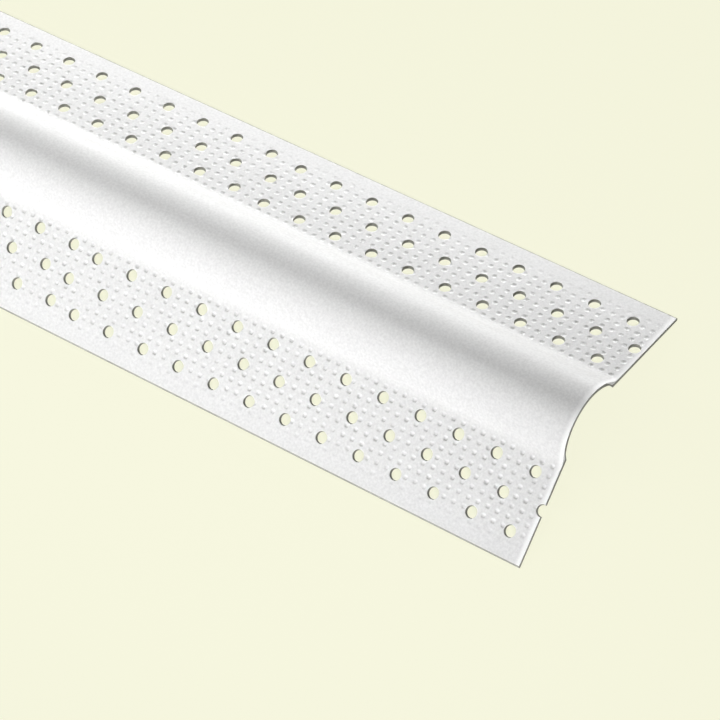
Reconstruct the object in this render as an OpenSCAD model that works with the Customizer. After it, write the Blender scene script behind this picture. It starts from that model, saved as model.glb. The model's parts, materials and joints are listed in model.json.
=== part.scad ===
// Splayed bullnose corner bead: one extruded vinyl strip with a raised round
// nose and two flat perforated flanges. It lies nose up, on its two long edges.
// Flange A is on the +Y side and flange B on the -Y side. Hole places are
// measured from the +X end.

/* [Stock] */
// Length that the strip is sold in
length = 2438.4; // [304.8:0.1:3048]
// Wall of the extrusion
wall = 1; // [0.8:0.05:1.4]
// Angle between the flanges, on the side of the boards
included_angle = 135; // [125:1:145]

/* [Nose] */
// Outer radius of the round nose
nose_r = 14.5; // [13:0.1:18]
// Height of the nose over a flange's outer face, square to that flange
nose_rise = 4.4; // [3.5:0.1:6]
// Fillet between the nose and each flange, on the outer side
root_r = 5; // [2:0.1:6]
// Height of the shoulder between the hollow of the nose and each flange's inner face
shoulder_h = 2; // [1:0.1:3]
// Lean of the shoulder's face from upright
shoulder_lean = 15; // [5:1:25]

/* [Flanges] */
// Width of each flange's inner face, from the shoulder to the edge
flange_w = 31.75; // [30:0.05:40]

/* [Holes] */
// Diameter of the holes
hole_d = 3.6; // [2.4:0.1:5]
// Distance between the holes of a row
hole_pitch = 12.7; // [9:0.1:20]
// Distance between the rows
row_gap = 8.75; // [6:0.05:9.5]
// Distance from the flange's edge to the centre of the outer row
edge_gap = 7.95; // [4:0.05:10]
// Rows on each flange
row_count = 3; // [1:1:3]

/* [Punching] */
// Columns that one stroke of the punch makes
stroke_columns = 24; // [8:1:48]
// Columns left of the first stroke on flange A, and of that on flange B
first_columns = [10, 13]; // [0:1:24]
// Distance from the +X end to the first hole of the outer row on A, and on B
first_gap = [9.25, 6.6]; // [4:0.05:12]
// Distance by which the strip was fed short between strokes on A, and on B
feed_short = [1.5, 3.5]; // [0:0.05:5]
// Shift of every second stroke towards the flange's edge on A, and on B
side_shift = [0.8, -0.8]; // [-1.5:0.1:1.5]

/* [Hidden] */
$fn = 48;

// Slope of each flange below level
splay = (180 - included_angle) / 2;
// Places in the section are [along, up] in the flange's frame: its origin is the centre
// of the nose's arc, and the flange's faces are level in it.
face_outer = nose_r - nose_rise;
face_inner = face_outer - wall;
// The fillet's circle reaches this far into the nose, so that the two arcs cross
fillet_bite = 0.01;
fillet_centre_up = face_outer + root_r;
fillet_along = sqrt(pow(nose_r + root_r - fillet_bite, 2) - pow(fillet_centre_up, 2));
fillet_centre = [fillet_along, fillet_centre_up];
fillet_top = nose_r / norm(fillet_centre) * fillet_centre;
// Shoulder inside the nose, from the hollow down to the flange's inner face
shoulder_top_up = face_inner + shoulder_h;
shoulder_top_along = sqrt(pow(nose_r - wall, 2) - pow(shoulder_top_up, 2));
shoulder_slope = tan(splay + shoulder_lean);
shoulder_along = shoulder_top_along + shoulder_h * shoulder_slope;
// Centre of the round edge
edge_centre = [shoulder_along + flange_w - wall / 2, face_outer - wall / 2];
// Height of the nose's centre over the floor, with the round edges on the floor
nose_centre_z = wall / 2 - rise(edge_centre);
// Reach of a cutting shape past the faces that it goes through
over = 1;
// Overlap of the nose's arc with the two flanges
lap = 0.5;

// Height over the nose's centre of a place in the flange's frame
function rise(place) = place[1] * cos(splay) - place[0] * sin(splay);

// Which stroke of the punch made a column
function stroke(column, side) =
    column < first_columns[side] ? 0 : 1 + floor((column - first_columns[side]) / stroke_columns);

// Distance from the +X end to a hole. The middle row is staggered by half a pitch,
// towards the +X end on flange A and away from it on flange B.
function hole_s(column, row, side) =
    first_gap[side] + column * hole_pitch - stroke(column, side) * feed_short[side]
    + (row % 2) * (side == 0 ? -1 : 1) * hole_pitch / 2;

// Place of a hole along the flange
function hole_along(column, row, side) =
    shoulder_along + flange_w - edge_gap - row * row_gap + (stroke(column, side) % 2) * side_shift[side];

// Columns that reach the far end
function column_count(side) =
    ceil(length / (hole_pitch - feed_short[side] / stroke_columns)) + 1;

// One flange with its round edge, its shoulder and the fillet up to the nose
module flange_section() {
    half = wall / 2;
    rotate(-splay) {
        difference() {
            polygon([
                [shoulder_top_along - half * shoulder_slope, shoulder_top_up + half],
                [shoulder_along, face_inner],
                [edge_centre[0], face_inner],
                [edge_centre[0], face_outer],
                [fillet_along, face_outer],
                fillet_centre,
                (nose_r - half) / nose_r * fillet_top
            ]);
            translate(fillet_centre) circle(root_r);
        }
        translate(edge_centre) circle(d = wall);
    }
}

// The nose's arc, down into the two flanges
module nose_section() {
    intersection() {
        difference() {
            circle(nose_r, $fn = 96);
            circle(nose_r - wall, $fn = 96);
        }
        translate([-nose_r, rise(fillet_top) - lap]) square(2 * nose_r);
    }
}

// The strip before it is punched
module strip() {
    translate([-length / 2, 0, nose_centre_z]) rotate([90, 0, 90]) {
        linear_extrude(length) nose_section();
        for (side = [0, 1])
            mirror([side, 0, 0]) linear_extrude(length) flange_section();
    }
}

// The holes of one flange, square to its face. Side 0 is flange A and side 1 flange B.
module holes(side) {
    mirror([0, side, 0])
        translate([length / 2, 0, nose_centre_z])
            rotate([-splay, 0, 0])
                for (column = [-1 : column_count(side)], row = [0 : row_count - 1]) {
                    s = hole_s(column, row, side);
                    if (s > -hole_d / 2 && s < length + hole_d / 2)
                        translate([-s, hole_along(column, row, side), face_inner - over])
                            cylinder(h = wall + 2 * over, d = hole_d, $fn = 24);
                }
}

module corner_bead() {
    color("white") difference() {
        strip();
        holes(0);
        holes(1);
    }
}

corner_bead();
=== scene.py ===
"""Looks of the drywall corner bead: a punched, dimpled white vinyl strip on a plain pale floor.

Sizes are in millimetres until a mesh is made. A place on a flange is (s, t): s runs from the +X end,
and t runs out along the flange, from the point nearest to the centre of the nose's arc.
"""
import json
import math

import bpy
import numpy as np
from mathutils import Matrix, Vector
from mathutils.geometry import delaunay_2d_cdt, tessellate_polygon

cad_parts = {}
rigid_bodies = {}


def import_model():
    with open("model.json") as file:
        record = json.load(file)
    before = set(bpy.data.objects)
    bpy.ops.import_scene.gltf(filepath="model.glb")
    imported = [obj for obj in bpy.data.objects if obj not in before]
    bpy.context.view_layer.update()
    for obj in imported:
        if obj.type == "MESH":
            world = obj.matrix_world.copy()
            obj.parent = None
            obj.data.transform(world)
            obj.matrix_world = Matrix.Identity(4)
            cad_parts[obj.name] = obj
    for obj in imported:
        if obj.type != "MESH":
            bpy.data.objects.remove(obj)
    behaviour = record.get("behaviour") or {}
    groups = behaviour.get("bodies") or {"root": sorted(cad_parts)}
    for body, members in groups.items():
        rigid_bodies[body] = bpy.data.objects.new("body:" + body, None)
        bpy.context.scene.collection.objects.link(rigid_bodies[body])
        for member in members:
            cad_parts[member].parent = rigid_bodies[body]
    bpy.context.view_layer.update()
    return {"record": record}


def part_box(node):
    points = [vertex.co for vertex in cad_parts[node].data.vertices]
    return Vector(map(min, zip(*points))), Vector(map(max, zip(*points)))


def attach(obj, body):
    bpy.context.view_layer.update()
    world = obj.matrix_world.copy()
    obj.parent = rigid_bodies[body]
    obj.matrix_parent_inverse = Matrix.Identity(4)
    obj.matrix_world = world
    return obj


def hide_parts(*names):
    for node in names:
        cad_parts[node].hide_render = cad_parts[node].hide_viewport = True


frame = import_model()
MM = 0.001

# Section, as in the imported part
bore = next(mount for mount in frame["record"]["mounts"] if mount["name"] == "nail_hole_a1")
low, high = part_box("corner_bead")
LENGTH = (high.x - low.x) / MM
WALL = bore["dims"]["length_mm"]
HOLE_R = bore["dims"]["r_mm"]
SPLAY = math.atan2(bore["axis"][1], bore["axis"][2])
NOSE_R = 14.5
NOSE_RISE = 4.4
ROOT_R = 5.0
SHOULDER_H = 2.0
SHOULDER_LEAN = math.radians(15)
SHOULDER_TILT = SPLAY + SHOULDER_LEAN
FACE = NOSE_R - NOSE_RISE
EDGE_T = (high.y / MM - WALL / 2 - (FACE - WALL / 2) * math.sin(SPLAY)) / math.cos(SPLAY)
NOSE_Z = WALL / 2 + EDGE_T * math.sin(SPLAY) - (FACE - WALL / 2) * math.cos(SPLAY)
FLANGE_END = EDGE_T + WALL / 2
FILLET_T = math.sqrt((NOSE_R + ROOT_R) ** 2 - (FACE + ROOT_R) ** 2)
FILLET_TURN = math.atan2(FILLET_T, FACE + ROOT_R)
SHOULDER_TOP_UP = FACE - WALL + SHOULDER_H
SHOULDER_TOP_T = math.sqrt((NOSE_R - WALL) ** 2 - SHOULDER_TOP_UP ** 2)
SHOULDER_T = SHOULDER_TOP_T + SHOULDER_H * math.tan(SHOULDER_TILT)
SIDES = {"a": 1, "b": -1}

# Punching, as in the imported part
HOLE_PITCH = 12.7
ROW_GAP = 8.75
EDGE_GAP = 7.95
HOLE_ROWS = 3
STROKE_COLUMNS = 24
FIRST_COLUMNS = {"a": 10, "b": 13}
FIRST_GAP = {"a": 9.25, "b": 6.6}
FEED_SHORT = {"a": 1.5, "b": 3.5}
SIDE_SHIFT = {"a": 0.8, "b": -0.8}
STAGGER = {"a": -HOLE_PITCH / 2, "b": HOLE_PITCH / 2}

# The punch rolls the rim of a hole over a little, and leaves the hole narrower at the inner face
RIM_POINTS = 24
ROLL_WIDTH = 0.16
ROLL_DEPTH = 0.05
TAPER = 0.14
ROLL_R = HOLE_R + ROLL_WIDTH
BACK_R = HOLE_R - TAPER

# Dimples rolled into the outer faces of the flanges; the edge gap is that of the row next to the nose
DIMPLE_PITCH = 3.257
DIMPLE_END_GAP = 2.52
DIMPLE_ROW_GAP = 2.885
DIMPLE_EDGE_GAP = 28.6
DIMPLE_ROWS = 9
DIMPLE_R = 1.05
DIMPLE_DEPTH = {"a": 0.36, "b": 0.56}

# Share of that depth towards the edge and in the last row, and how far depths and places stray
DIMPLE_FADE = 0.65
DIMPLE_LAST = 0.25
DIMPLE_UNEVEN = 0.3
DIMPLE_STRAY = 0.12
DIMPLE_SEED = 5

# Rings of points that shape a dimple; the outer one is its rim
INNER_RING_R = 0.55 * DIMPLE_R
INNER_RING_POINTS = 6
OUTER_RING_POINTS = 8

# The dimpled face reaches a little way up the fillet
FACE_REACH = 1.5
FACE_T = FILLET_T - FACE_REACH

# Meshing: gap kept round rims and sides, points across a cut end, gap that merges points, step of arcs
CLEAR = 0.12
SIDE_POINTS = 27
MERGE_GAP = 1e-6
ARC_STEP = math.radians(3)

# Vinyl: the colours that its grain varies between, its gloss, and its grain and clouding, per metre and
# in metres
VINYL_DARK = (0.70, 0.70, 0.70, 1)
VINYL_LIGHT = (0.80, 0.80, 0.80, 1)
VINYL_ROUGHNESS = (0.4, 0.53)
VINYL_SPECULAR = 0.26
GRAIN_SCALE = 1400.0
GRAIN_HEIGHT = 0.00003
CLOUD_SCALE = 60.0
CLOUD_DETAIL = 3.0

# Painted highlight along the cut ends: the vinyl's colour is made paler next to them, and fully pale at
# the very end
END_HIGHLIGHT_WIDTH = 1.8
END_HIGHLIGHT_FULL_WIDTH = 0.6
END_HIGHLIGHT_COLOUR = (0.97, 0.97, 0.97, 1)

# Vinyl on the cut and punched faces and the long round edges, darkened with painted shade
CUT_SHADE_DARK = (0.33, 0.33, 0.29, 1)
CUT_SHADE_LIGHT = (0.40, 0.40, 0.35, 1)
CUT_ROUGHNESS = 0.8
CUT_SPECULAR = 0.2
CUT_MARK_SCALE = 900.0

# Both colours vary with a noise of this detail, between these two values of it
TINT_DETAIL = 2.0
TINT_SPAN = (0.3, 0.7)

# Camera: the point it looks at, measured from the middle of the strip, and where it stands
CAMERA_AIM = Vector((1153.5, -13.65, 18.1))
CAMERA_AZIMUTH = math.radians(-29.1)
CAMERA_ELEVATION = math.radians(58.68)
CAMERA_ROLL = math.radians(31.18)
CAMERA_DISTANCE = 1037.6
CAMERA_LENS = 189.4
CAMERA_SENSOR = 36.0

# Lamps, in metres and watts: long ones beside the strip, which reach past its ends, each with its
# elevation and power, a low one off each end, and a dim surround
LAMP_DISTANCE = 0.2
LAMP_REACH = 0.07
LAMP_WIDTH = 0.03
HIGH_LAMP_B = (math.radians(61), 2.5)
LOW_LAMP_A = (math.radians(5), 4.4)
LOW_LAMP_B = (math.radians(11), 1.3)
END_LAMP_DISTANCE = 0.8
END_LAMP_HEIGHT = 0.1
END_LAMP_SIZE = (0.6, 0.12)
END_LAMP_POWER = 1.8
SURROUND = 0.03

# Floor, in metres: its colour where it is seen, how strong that is, the share of it that no light
# changes, and its colour under the lamps
FLOOR_SIZE = 30
PAPER = (0.913, 0.913, 0.723, 1)
PAPER_GLOW = 1.035
GLOW_SHARE = 0.94
LIT_PAPER = (0.85, 0.85, 0.85, 1)


def hole_places(side):
    """Centres of the holes in one flange: an array for each row, in order along the strip."""
    rows = []
    for row in range(HOLE_ROWS):
        places = []
        for column in range(-1, int(LENGTH / HOLE_PITCH) + STROKE_COLUMNS):
            stroke = max(0, 1 + (column - FIRST_COLUMNS[side]) // STROKE_COLUMNS)
            fed = FIRST_GAP[side] + column * HOLE_PITCH - stroke * FEED_SHORT[side]
            s = fed + (row % 2) * STAGGER[side]
            t = FLANGE_END - EDGE_GAP - row * ROW_GAP + (stroke % 2) * SIDE_SHIFT[side]
            if -HOLE_R < s < LENGTH + HOLE_R:
                places.append((s, t))
        rows.append(np.array(places))
    return rows


def from_hole(points, rows):
    """Offset of each point from the centre of the nearest hole, and its distance."""
    offset = np.full(points.shape, np.inf)
    distance = np.full(len(points), np.inf)
    for row in rows:
        after = np.clip(np.searchsorted(row[:, 0], points[:, 0]), 1, len(row) - 1)
        for index in (after - 1, after):
            step = points - row[index]
            span = np.linalg.norm(step, axis=1)
            nearer = span < distance
            offset[nearer] = step[nearer]
            distance[nearer] = span[nearer]
    return offset, distance


def rim(centre, radius):
    """Points round a hole, in order, and whether they close; the near cut end leaves a rim open."""
    closed = centre[0] > radius
    if closed:
        angles = np.arange(RIM_POINTS) * 2 * math.pi / RIM_POINTS
    else:
        half = math.acos(-centre[0] / radius)
        angles = np.linspace(-half, half, RIM_POINTS)
    return centre + radius * np.stack([np.cos(angles), np.sin(angles)], axis=1), closed


def ring(centres, radius, count, turn):
    """Points on a circle about each centre."""
    angles = turn + np.arange(count) * 2 * math.pi / count
    offsets = radius * np.stack([np.cos(angles), np.sin(angles)], axis=1)
    return (centres[:, None, :] + offsets).reshape(-1, 2)


def grid(along, across):
    """All the places with one of these values along the strip and one of those across."""
    return np.stack(np.meshgrid(along, across), axis=-1).reshape(-1, 2)


# Centres of the dimples along the strip and across a flange
dimple_s = np.arange(DIMPLE_END_GAP, LENGTH - DIMPLE_R, DIMPLE_PITCH)
dimple_t = FLANGE_END - DIMPLE_EDGE_GAP + DIMPLE_ROW_GAP * np.arange(DIMPLE_ROWS)


def press_dimples():
    """Centre of each dimple and its share of the full depth, both a little uneven.

    The share falls towards the flange's edge, and is least in the last row.
    """
    chance = np.random.default_rng(DIMPLE_SEED)
    by_row = np.linspace(1, DIMPLE_FADE, DIMPLE_ROWS)
    by_row[-1] = DIMPLE_LAST
    shares = by_row * chance.uniform(1 - DIMPLE_UNEVEN, 1 + DIMPLE_UNEVEN, (len(dimple_s), DIMPLE_ROWS))
    even = np.stack(np.meshgrid(dimple_s, dimple_t, indexing="ij"), axis=-1)
    return even + chance.uniform(-DIMPLE_STRAY, DIMPLE_STRAY, even.shape), shares


dimple_centres, dimple_shares = press_dimples()


def nearest(values, evenly, step):
    """Index of the evenly spaced place that is nearest to each value."""
    return np.clip(np.rint((values - evenly[0]) / step), 0, len(evenly) - 1).astype(int)


def relief(points, side):
    """Height of the outer face over its plane, and its slopes along s and t.

    A dimple of radius 1 is (1 - r^2)^2 times as deep as at its centre. The face bends up into the fillet.
    """
    column = nearest(points[:, 0], dimple_s, DIMPLE_PITCH)
    row = nearest(points[:, 1], dimple_t, DIMPLE_ROW_GAP)
    depth = DIMPLE_DEPTH[side] * dimple_shares[column, row]
    offset = (points - dimple_centres[column, row]) / DIMPLE_R
    inside = np.clip(1 - (offset ** 2).sum(axis=1), 0, 1)
    height = -depth * inside ** 2
    slopes = (4 * depth * inside / DIMPLE_R)[:, None] * offset
    into_fillet = np.clip(FILLET_T - points[:, 1], 0, FACE_REACH)
    level = np.sqrt(ROOT_R ** 2 - into_fillet ** 2)
    height += ROOT_R - level
    slopes[:, 1] -= into_fillet / level
    return height, slopes


def section(t, up, sign):
    """A place in a flange's frame, as y and z in the row frame."""
    y = sign * (t * math.cos(SPLAY) + up * math.sin(SPLAY))
    return np.array([y, NOSE_Z - t * math.sin(SPLAY) + up * math.cos(SPLAY)])


def on_flange(points, height, sign):
    """Places on a flange, at a height over its outer face, in the row frame."""
    y, z = section(points[:, 1], FACE + height, sign)
    return np.stack([LENGTH / 2 - points[:, 0], y, z], axis=1)


def flange_normals(slopes, sign):
    """Normals of the outer face where it has these slopes."""
    along = np.array([-1.0, 0.0, 0.0])
    out = np.array([0.0, sign * math.cos(SPLAY), -math.sin(SPLAY)])
    up = np.array([0.0, sign * math.sin(SPLAY), math.cos(SPLAY)])
    normals = up - slopes[:, :1] * along - slopes[:, 1:] * out
    return normals / np.linalg.norm(normals, axis=1, keepdims=True)


def triangulate(points, rows, hole_r):
    """The places on a flange's face, and the triangles between them that aren't inside holes."""
    found = delaunay_2d_cdt([tuple(point) for point in points], [], [], 0, MERGE_GAP)
    points = np.array(found[0])
    triangles = np.array(found[2])
    distance = from_hole(points[triangles].mean(axis=1), rows)[1]
    return points, triangles[distance > hole_r * math.cos(math.pi / RIM_POINTS)]


class Skin:
    """Vertices, normals and faces of a piece, gathered part by part."""

    def __init__(self):
        self.points = []
        self.normals = []
        self.faces = []
        self.count = 0

    def add(self, points, normals, faces):
        """Adds faces, each turned so that it looks the way of its normals."""
        a, b, c = (points[faces[:, corner]] for corner in range(3))
        backwards = (np.cross(b - a, c - a) * normals[faces[:, 0]]).sum(axis=1) < 0
        faces = np.where(backwards[:, None], faces[:, ::-1], faces)
        self.points.append(points)
        self.normals.append(normals)
        self.faces.extend((faces + self.count).tolist())
        self.count += len(points)

    def build(self, name, material):
        """Makes the piece, riding on the part in place of the CAD node."""
        mesh = bpy.data.meshes.new(name)
        mesh.from_pydata(np.concatenate(self.points) * MM, [], self.faces)
        mesh.shade_smooth()
        mesh.normals_split_custom_set_from_vertices(np.concatenate(self.normals))
        mesh.materials.append(material)
        piece = bpy.data.objects.new(name, mesh)
        bpy.context.scene.collection.objects.link(piece)
        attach(piece, "root")
        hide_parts("corner_bead")


def used(points, normals, faces):
    """Only the points that these faces use."""
    kept, faces = np.unique(faces, return_inverse=True)
    return points[kept], normals[kept], faces.reshape(-1, 3)


def frame_points(inner_t, rows, clear):
    """Points along the four sides of a flange's face, clear of a hole that the cut end crosses."""
    along = np.linspace(0, LENGTH, len(dimple_s) + 1)
    across = np.linspace(inner_t, EDGE_T, SIDE_POINTS)
    points = np.concatenate([grid(along, [inner_t, EDGE_T]), grid([0, LENGTH], across[1:-1])])
    return points[from_hole(points, rows)[1] > clear]


def outer_face(side, rows):
    """Places, points, normals and triangles of a flange's outer face, with its dimples and rolled rims."""
    centres = dimple_centres.reshape(-1, 2)
    loose = np.concatenate([
        centres,
        ring(centres, INNER_RING_R, INNER_RING_POINTS, 0),
        ring(centres, DIMPLE_R, OUTER_RING_POINTS, math.pi / OUTER_RING_POINTS),
        grid(dimple_s + DIMPLE_PITCH / 2, [FILLET_T, FILLET_T - FACE_REACH / 2]),
    ])
    kept = (from_hole(loose, rows)[1] > ROLL_R + CLEAR) & (loose[:, 0] < LENGTH - CLEAR)
    kept &= loose[:, 1] > FACE_T + CLEAR
    rims = [rim(centre, radius)[0] for centre in np.concatenate(rows) for radius in (HOLE_R, ROLL_R)]
    sides = frame_points(FACE_T, rows, ROLL_R + CLEAR)
    points, triangles = triangulate(np.concatenate([loose[kept], *rims, sides]), rows, HOLE_R)
    height, slopes = relief(points, side)
    offset, distance = from_hole(points, rows)
    rolled = np.clip((ROLL_R - distance) / ROLL_WIDTH, 0, 1)
    height -= ROLL_DEPTH * rolled ** 2
    slopes += (2 * ROLL_DEPTH / ROLL_WIDTH * rolled / distance)[:, None] * offset
    return points, on_flange(points, height, SIDES[side]), flange_normals(slopes, SIDES[side]), triangles


def inner_face(side, rows):
    """Places, points, normals and triangles of a flange's flat inner face."""
    rims = [rim(centre, BACK_R)[0] for centre in np.concatenate(rows)]
    sides = frame_points(SHOULDER_T, rows, BACK_R + CLEAR)
    points, triangles = triangulate(np.concatenate([*rims, sides]), rows, BACK_R)
    normals = -flange_normals(np.zeros(points.shape), SIDES[side])
    return points, on_flange(points, np.full(len(points), -WALL), SIDES[side]), normals, triangles


def hole_wall(side, centre):
    """Points, normals and faces of the wall of one hole."""
    points, closed = rim(centre, HOLE_R)
    top = on_flange(points, relief(points, side)[0] - ROLL_DEPTH, SIDES[side])
    back = rim(centre, BACK_R)[0]
    bottom = on_flange(back, np.full(len(back), -WALL), SIDES[side])
    normals = on_flange(centre[None, :], np.full(1, -WALL), SIDES[side]) - bottom
    normals /= np.linalg.norm(normals, axis=1, keepdims=True)
    first = np.arange(RIM_POINTS if closed else RIM_POINTS - 1)
    second = (first + 1) % RIM_POINTS
    faces = np.stack([first, second, second + RIM_POINTS, first + RIM_POINTS], axis=1)
    return np.concatenate([top, bottom]), np.concatenate([normals, normals]), faces


def flange(side, material, cut):
    """Makes one flange, in a near and a far half, and adds the walls of its holes."""
    rows = hole_places(side)
    halves = {"near": Skin(), "far": Skin()}
    for places, points, normals, triangles in (outer_face(side, rows), inner_face(side, rows)):
        near = places[triangles][:, :, 0].mean(axis=1) < LENGTH / 2
        halves["near"].add(*used(points, normals, triangles[near]))
        halves["far"].add(*used(points, normals, triangles[~near]))
    for centre in np.concatenate(rows):
        cut.add(*hole_wall(side, centre))
    for half, skin in halves.items():
        skin.build(f"flange_{side}_{half}", material)


def arc(centre, radius, start, stop):
    """Points on an arc and their directions from its centre; angles run from up towards along."""
    angles = np.linspace(start, stop, 1 + math.ceil(abs(stop - start) / ARC_STEP))
    directions = np.stack([np.sin(angles), np.cos(angles)], axis=1)
    return np.array(centre) + radius * directions, directions


def to_section(places, directions, sign):
    """Points and directions in a flange's frame, as y and z in the row frame."""
    points = section(places[:, 0], places[:, 1], sign).T
    origin = section(0, 0, sign)
    return points, section(directions[:, 0], directions[:, 1], sign).T - origin


def fillet(sign, start):
    """The outer fillet of one side, from an angle at its foot up to the nose."""
    places, directions = arc((FILLET_T, FACE + ROOT_R), -ROOT_R, start, FILLET_TURN)
    return to_section(places, directions, sign)


def round_edge(sign):
    """The round long edge of one flange, from its outer face to its inner one."""
    return to_section(*arc((EDGE_T, FACE - WALL / 2), WALL / 2, 0, math.pi), sign)


def nose(radius, start, stop):
    """An arc of the nose or of its hollow."""
    return arc((0, NOSE_Z), radius, start, stop)


def shoulder(sign):
    """The shoulder inside the nose, from the hollow to the flange's inner face."""
    places = np.array([(SHOULDER_TOP_T, SHOULDER_TOP_UP), (SHOULDER_T, FACE - WALL)])
    facing = (-math.cos(SHOULDER_TILT), -math.sin(SHOULDER_TILT))
    return to_section(places, np.array([facing, facing]), sign)


# Half the angle of the nose's outer arc, and of its hollow's
NOSE_TURN = SPLAY + FILLET_TURN
HOLLOW_TURN = SPLAY + math.atan2(SHOULDER_TOP_T, SHOULDER_TOP_UP)

# Corner of the fillet's web on a cut end, half a wall behind the shoulder
ROOT = (SHOULDER_T + WALL * (0.5 - math.sin(SHOULDER_TILT)) / math.cos(SHOULDER_TILT), FACE)

# The rough part of a cut end, darkened with painted shade, thins out on the nose from this angle to that
# corner
THIN_TURN = math.radians(48)


def extrude(skin, points, normals):
    """Adds a strip with this profile, from end to end."""
    count = len(points)
    ends = [np.insert(points, 0, x, axis=1) for x in (LENGTH / 2, -LENGTH / 2)]
    first = np.arange(count - 1)
    faces = np.stack([first, first + 1, first + 1 + count, first + count], axis=1)
    flat = np.insert(normals, 0, 0, axis=1)
    skin.add(np.concatenate(ends), np.concatenate([flat, flat]), faces)


def cut_end(skin, x, loop):
    """Adds a flat face at a cut end."""
    points = np.insert(np.array(loop), 0, x, axis=1)
    triangles = np.array(tessellate_polygon([[Vector(point) for point in points]]))
    normals = np.tile([math.copysign(1, x), 0, 0], (len(points), 1))
    skin.add(points, normals, triangles)


def end_loops(notch):
    """Outlines of a cut end, which a hole across it splits between the two notch places of flange B."""
    edge_b = list(round_edge(-1)[0])
    main = [
        *round_edge(1)[0],
        *shoulder(1)[0][::-1],
        *nose(NOSE_R - WALL, HOLLOW_TURN, -HOLLOW_TURN)[0],
        *shoulder(-1)[0],
    ]
    rest = [
        fillet(-1, 0)[0][0],
        section(*ROOT, -1),
        *nose(NOSE_R, -THIN_TURN, THIN_TURN)[0],
        section(*ROOT, 1),
        fillet(1, 0)[0][0],
    ]
    if not notch:
        return [main + edge_b[::-1] + rest]
    cuts = [[section(back, FACE - WALL, -1), section(front, FACE, -1)] for back, front in notch]
    return [main + cuts[0] + rest, edge_b + cuts[1]]


def spine(material, cut):
    """Makes the nose and its hollow, and adds the long edges and the cut ends."""
    skin = Skin()
    extrude(skin, *nose(NOSE_R, -NOSE_TURN, NOSE_TURN))
    points, normals = nose(NOSE_R - WALL, -HOLLOW_TURN, HOLLOW_TURN)
    extrude(skin, points, -normals)
    for sign in SIDES.values():
        extrude(skin, *fillet(sign, math.asin(FACE_REACH / ROOT_R)))
        extrude(cut, *round_edge(sign))
        extrude(skin, *shoulder(sign))
    notch = []
    for s, t in np.concatenate(hole_places("b")):
        if s < HOLE_R:
            back, front = (math.sqrt(radius ** 2 - s ** 2) for radius in (BACK_R, HOLE_R))
            notch = [(t - back, t - front), (t + back, t + front)]
    for loop in end_loops(notch):
        cut_end(cut, LENGTH / 2, loop)
    for loop in end_loops([]):
        cut_end(cut, -LENGTH / 2, loop)
    for x in (LENGTH / 2, -LENGTH / 2):
        for sign in SIDES.values():
            crook = nose(NOSE_R, sign * NOSE_TURN, sign * THIN_TURN)[0]
            cut_end(skin, x, [*fillet(sign, 0)[0], *crook[1:], section(*ROOT, sign)])
    skin.build("nose", material)


def node_maker(tree):
    """Empties a node tree, and gives functions that link its nodes and add a node to it."""
    tree.nodes.clear()

    def add(kind, **values):
        node = tree.nodes.new(kind)
        for key, value in values.items():
            if key in node.inputs:
                node.inputs[key].default_value = value
            else:
                setattr(node, key, value)
        return node

    return tree.links.new, add


def new_material(name):
    """A material with an empty node tree, and the functions that fill it."""
    material = bpy.data.materials.new(name)
    material.use_nodes = True
    return material, *node_maker(material.node_tree)


def direct_rays(link, add):
    """A socket that is 1 where a surface is seen, also by reflection or through glass, and else 0."""
    rays = add("ShaderNodeLightPath")
    seen = rays.outputs["Is Camera Ray"]
    for name in ("Is Glossy Ray", "Is Transmission Ray"):
        either = add("ShaderNodeMath", operation="MAXIMUM")
        link(seen, either.inputs[0])
        link(rays.outputs[name], either.inputs[1])
        seen = either.outputs["Value"]
    return seen


def noise_tint(link, add, place, scale, dark, light):
    """Sockets of a fine noise, and of a colour that varies with it between two."""
    noise = add("ShaderNodeTexNoise", Scale=scale, Detail=TINT_DETAIL)
    link(place, noise.inputs["Vector"])
    tint = add("ShaderNodeValToRGB")
    for element, position, colour in zip(tint.color_ramp.elements, TINT_SPAN, (dark, light)):
        element.position = position
        element.color = colour
    link(noise.outputs["Fac"], tint.inputs["Fac"])
    return noise.outputs["Fac"], tint.outputs["Color"]


def painted_end_highlight(link, add, place, tint):
    """Socket of this colour, made paler next to the cut ends by a painted highlight."""
    split = add("ShaderNodeSeparateXYZ")
    link(place, split.inputs["Vector"])
    from_middle = add("ShaderNodeMath", operation="ABSOLUTE")
    link(split.outputs["X"], from_middle.inputs[0])
    half = LENGTH / 2
    fade = {"From Min": (half - END_HIGHLIGHT_WIDTH) * MM, "From Max": (half - END_HIGHLIGHT_FULL_WIDTH) * MM}
    highlight_fade = add("ShaderNodeMapRange", **fade)
    link(from_middle.outputs["Value"], highlight_fade.inputs["Value"])
    # painted highlight: the colour turns paler towards the cut ends
    mix = add("ShaderNodeMix", data_type="RGBA")
    link(highlight_fade.outputs["Result"], mix.inputs["Factor"])
    plain, highlight_colour = (socket for socket in mix.inputs if socket.type == "RGBA")
    link(tint, plain)
    highlight_colour.default_value = END_HIGHLIGHT_COLOUR
    return next(socket for socket in mix.outputs if socket.type == "RGBA")


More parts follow.
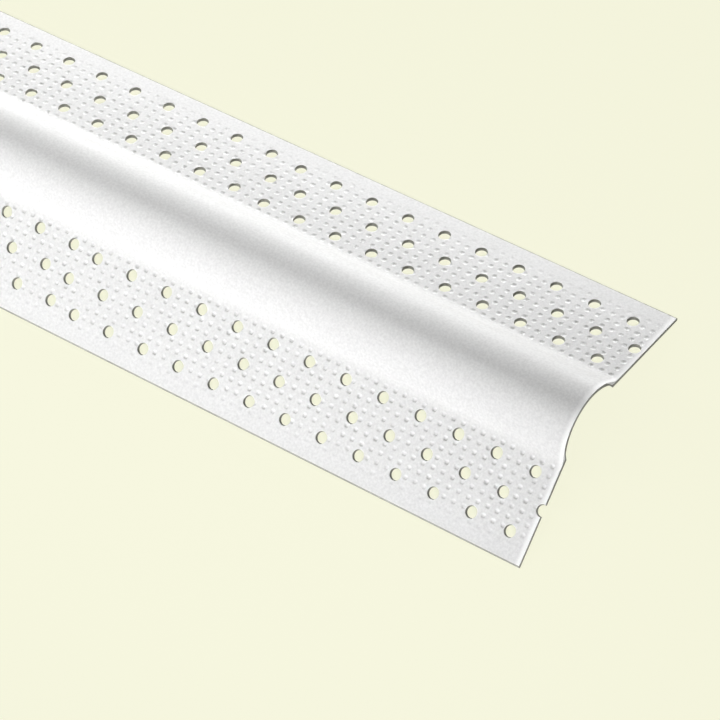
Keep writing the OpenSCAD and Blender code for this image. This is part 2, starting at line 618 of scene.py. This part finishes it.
def make_vinyl():
    """White vinyl with a fine grain and faint clouding, and a painted highlight that makes it paler next
    to the cut ends.
    """
    material, link, add = new_material("vinyl")
    place = add("ShaderNodeTexCoord").outputs["Object"]
    shader = add("ShaderNodeBsdfPrincipled", **{"Specular IOR Level": VINYL_SPECULAR})
    grain, tint = noise_tint(link, add, place, GRAIN_SCALE, VINYL_DARK, VINYL_LIGHT)
    link(painted_end_highlight(link, add, place, tint), shader.inputs["Base Color"])
    cloud = add("ShaderNodeTexNoise", Scale=CLOUD_SCALE, Detail=CLOUD_DETAIL)
    link(place, cloud.inputs["Vector"])
    least, most = VINYL_ROUGHNESS
    rough = add("ShaderNodeMapRange", **{"To Min": least, "To Max": most})
    link(cloud.outputs["Fac"], rough.inputs["Value"])
    link(rough.outputs["Result"], shader.inputs["Roughness"])
    bump = add("ShaderNodeBump", Strength=1.0, Distance=GRAIN_HEIGHT)
    link(grain, bump.inputs["Height"])
    link(bump.outputs["Normal"], shader.inputs["Normal"])
    link(shader.outputs["BSDF"], add("ShaderNodeOutputMaterial").inputs["Surface"])
    return material


def make_shaded_cut_vinyl():
    """The same vinyl where it is cut or punched, and on the long round edges: rough, and darkened with
    painted shade.
    """
    material, link, add = new_material("shaded_cut_vinyl")
    place = add("ShaderNodeTexCoord").outputs["Object"]
    finish = {"Roughness": CUT_ROUGHNESS, "Specular IOR Level": CUT_SPECULAR}
    shader = add("ShaderNodeBsdfPrincipled", **finish)
    # painted shade: these faces take a darker colour than the vinyl itself
    tint = noise_tint(link, add, place, CUT_MARK_SCALE, CUT_SHADE_DARK, CUT_SHADE_LIGHT)[1]
    link(tint, shader.inputs["Base Color"])
    link(shader.outputs["BSDF"], add("ShaderNodeOutputMaterial").inputs["Surface"])
    return material


def make_backdrop():
    """Pale paper: mostly its plain colour where it is seen, with a faint shadow."""
    material, link, add = new_material("backdrop")
    share = add("ShaderNodeMath", operation="MULTIPLY")
    share.inputs[1].default_value = GLOW_SHARE
    link(direct_rays(link, add), share.inputs[0])
    paper = add("ShaderNodeBsdfDiffuse", Color=LIT_PAPER)
    glow = add("ShaderNodeEmission", Color=PAPER, Strength=PAPER_GLOW)
    mix = add("ShaderNodeMixShader")
    link(share.outputs["Value"], mix.inputs["Fac"])
    link(paper.outputs["BSDF"], mix.inputs[1])
    link(glow.outputs["Emission"], mix.inputs[2])
    link(mix.outputs["Shader"], add("ShaderNodeOutputMaterial").inputs["Surface"])
    return material


def make_surround():
    """A surround that lights the part dimly, and is as pale as the floor where it is seen."""
    world = bpy.data.worlds.new("surround")
    bpy.context.scene.world = world
    world.use_nodes = True
    link, add = node_maker(world.node_tree)
    dim = add("ShaderNodeBackground", Color=(1, 1, 1, 1), Strength=SURROUND)
    pale = add("ShaderNodeBackground", Color=PAPER, Strength=GLOW_SHARE * PAPER_GLOW)
    mix = add("ShaderNodeMixShader")
    link(direct_rays(link, add), mix.inputs["Fac"])
    link(dim.outputs["Background"], mix.inputs[1])
    link(pale.outputs["Background"], mix.inputs[2])
    link(mix.outputs["Shader"], add("ShaderNodeOutputWorld").inputs["Surface"])


def make_floor():
    """A wide floor under the strip."""
    bpy.ops.mesh.primitive_plane_add(size=FLOOR_SIZE)
    floor = bpy.context.object
    floor.name = "floor"
    floor.data.materials.append(make_backdrop())
    return floor


def area_lamp(name, place, aim, size, power):
    """A soft lamp at a place, turned to a point; places are in metres."""
    lamp = bpy.data.lights.new(name, "AREA")
    lamp.shape = "RECTANGLE"
    lamp.size, lamp.size_y = size
    lamp.energy = power
    holder = bpy.data.objects.new(name, lamp)
    bpy.context.scene.collection.objects.link(holder)
    holder.location = place
    holder.rotation_euler = (Vector(aim) - Vector(place)).to_track_quat("-Z", "Y").to_euler()
    holder.visible_camera = False
    return holder


def long_lamp(name, side, elevation, power):
    """A soft lamp as long as the strip and beside it, turned to its axis."""
    away = LAMP_DISTANCE * math.cos(elevation)
    height = LAMP_DISTANCE * math.sin(elevation)
    size = (LENGTH * MM + 2 * LAMP_REACH, LAMP_WIDTH)
    return area_lamp(name, (0, side * away, height), (0, 0, 0), size, power)


def end_lamp(name, end):
    """A low soft lamp off one end of the strip, half-way round to flange B."""
    away = END_LAMP_DISTANCE * math.sqrt(0.5)
    x = end * LENGTH / 2 * MM
    place = (x + end * away, SIDES["b"] * away, END_LAMP_HEIGHT)
    return area_lamp(name, place, (x, 0, 0), END_LAMP_SIZE, END_LAMP_POWER)


def make_light(floor):
    """A high lamp on the camera's side, and low lamps all round that light only the part."""
    long_lamp("high_b", SIDES["b"], *HIGH_LAMP_B)
    low_lamps = [
        long_lamp("low_a", SIDES["a"], *LOW_LAMP_A),
        long_lamp("low_b", SIDES["b"], *LOW_LAMP_B),
        end_lamp("low_near", 1),
        end_lamp("low_far", -1),
    ]
    part = bpy.data.collections.new("part")
    for piece in bpy.context.scene.objects:
        if piece.type == "MESH" and piece != floor:
            part.objects.link(piece)
    for lamp in low_lamps:
        lamp.light_linking.receiver_collection = part


def make_camera():
    """The camera at the photograph's place."""
    toward = Vector((
        math.cos(CAMERA_ELEVATION) * math.cos(CAMERA_AZIMUTH),
        math.cos(CAMERA_ELEVATION) * math.sin(CAMERA_AZIMUTH),
        math.sin(CAMERA_ELEVATION),
    ))
    right = Vector((0, 0, 1)).cross(toward).normalized()
    level = Matrix((right, toward.cross(right), toward)).transposed()
    camera = bpy.data.objects.new("camera", bpy.data.cameras.new("camera"))
    camera.data.lens = CAMERA_LENS
    camera.data.sensor_width = CAMERA_SENSOR
    turn = level.to_4x4() @ Matrix.Rotation(-CAMERA_ROLL, 4, "Z")
    camera.matrix_world = Matrix.Translation((CAMERA_AIM + CAMERA_DISTANCE * toward) * MM) @ turn
    bpy.context.scene.collection.objects.link(camera)
    bpy.context.scene.camera = camera


vinyl = make_vinyl()
cut_faces = Skin()
for side in SIDES:
    flange(side, vinyl, cut_faces)
spine(vinyl, cut_faces)
# The cut faces, hole walls and long edges carry painted shade in their colour
cut_faces.build("cut_faces", make_shaded_cut_vinyl())
floor = make_floor()
make_surround()
make_light(floor)
make_camera()
bpy.context.scene.view_settings.view_transform = "Standard"
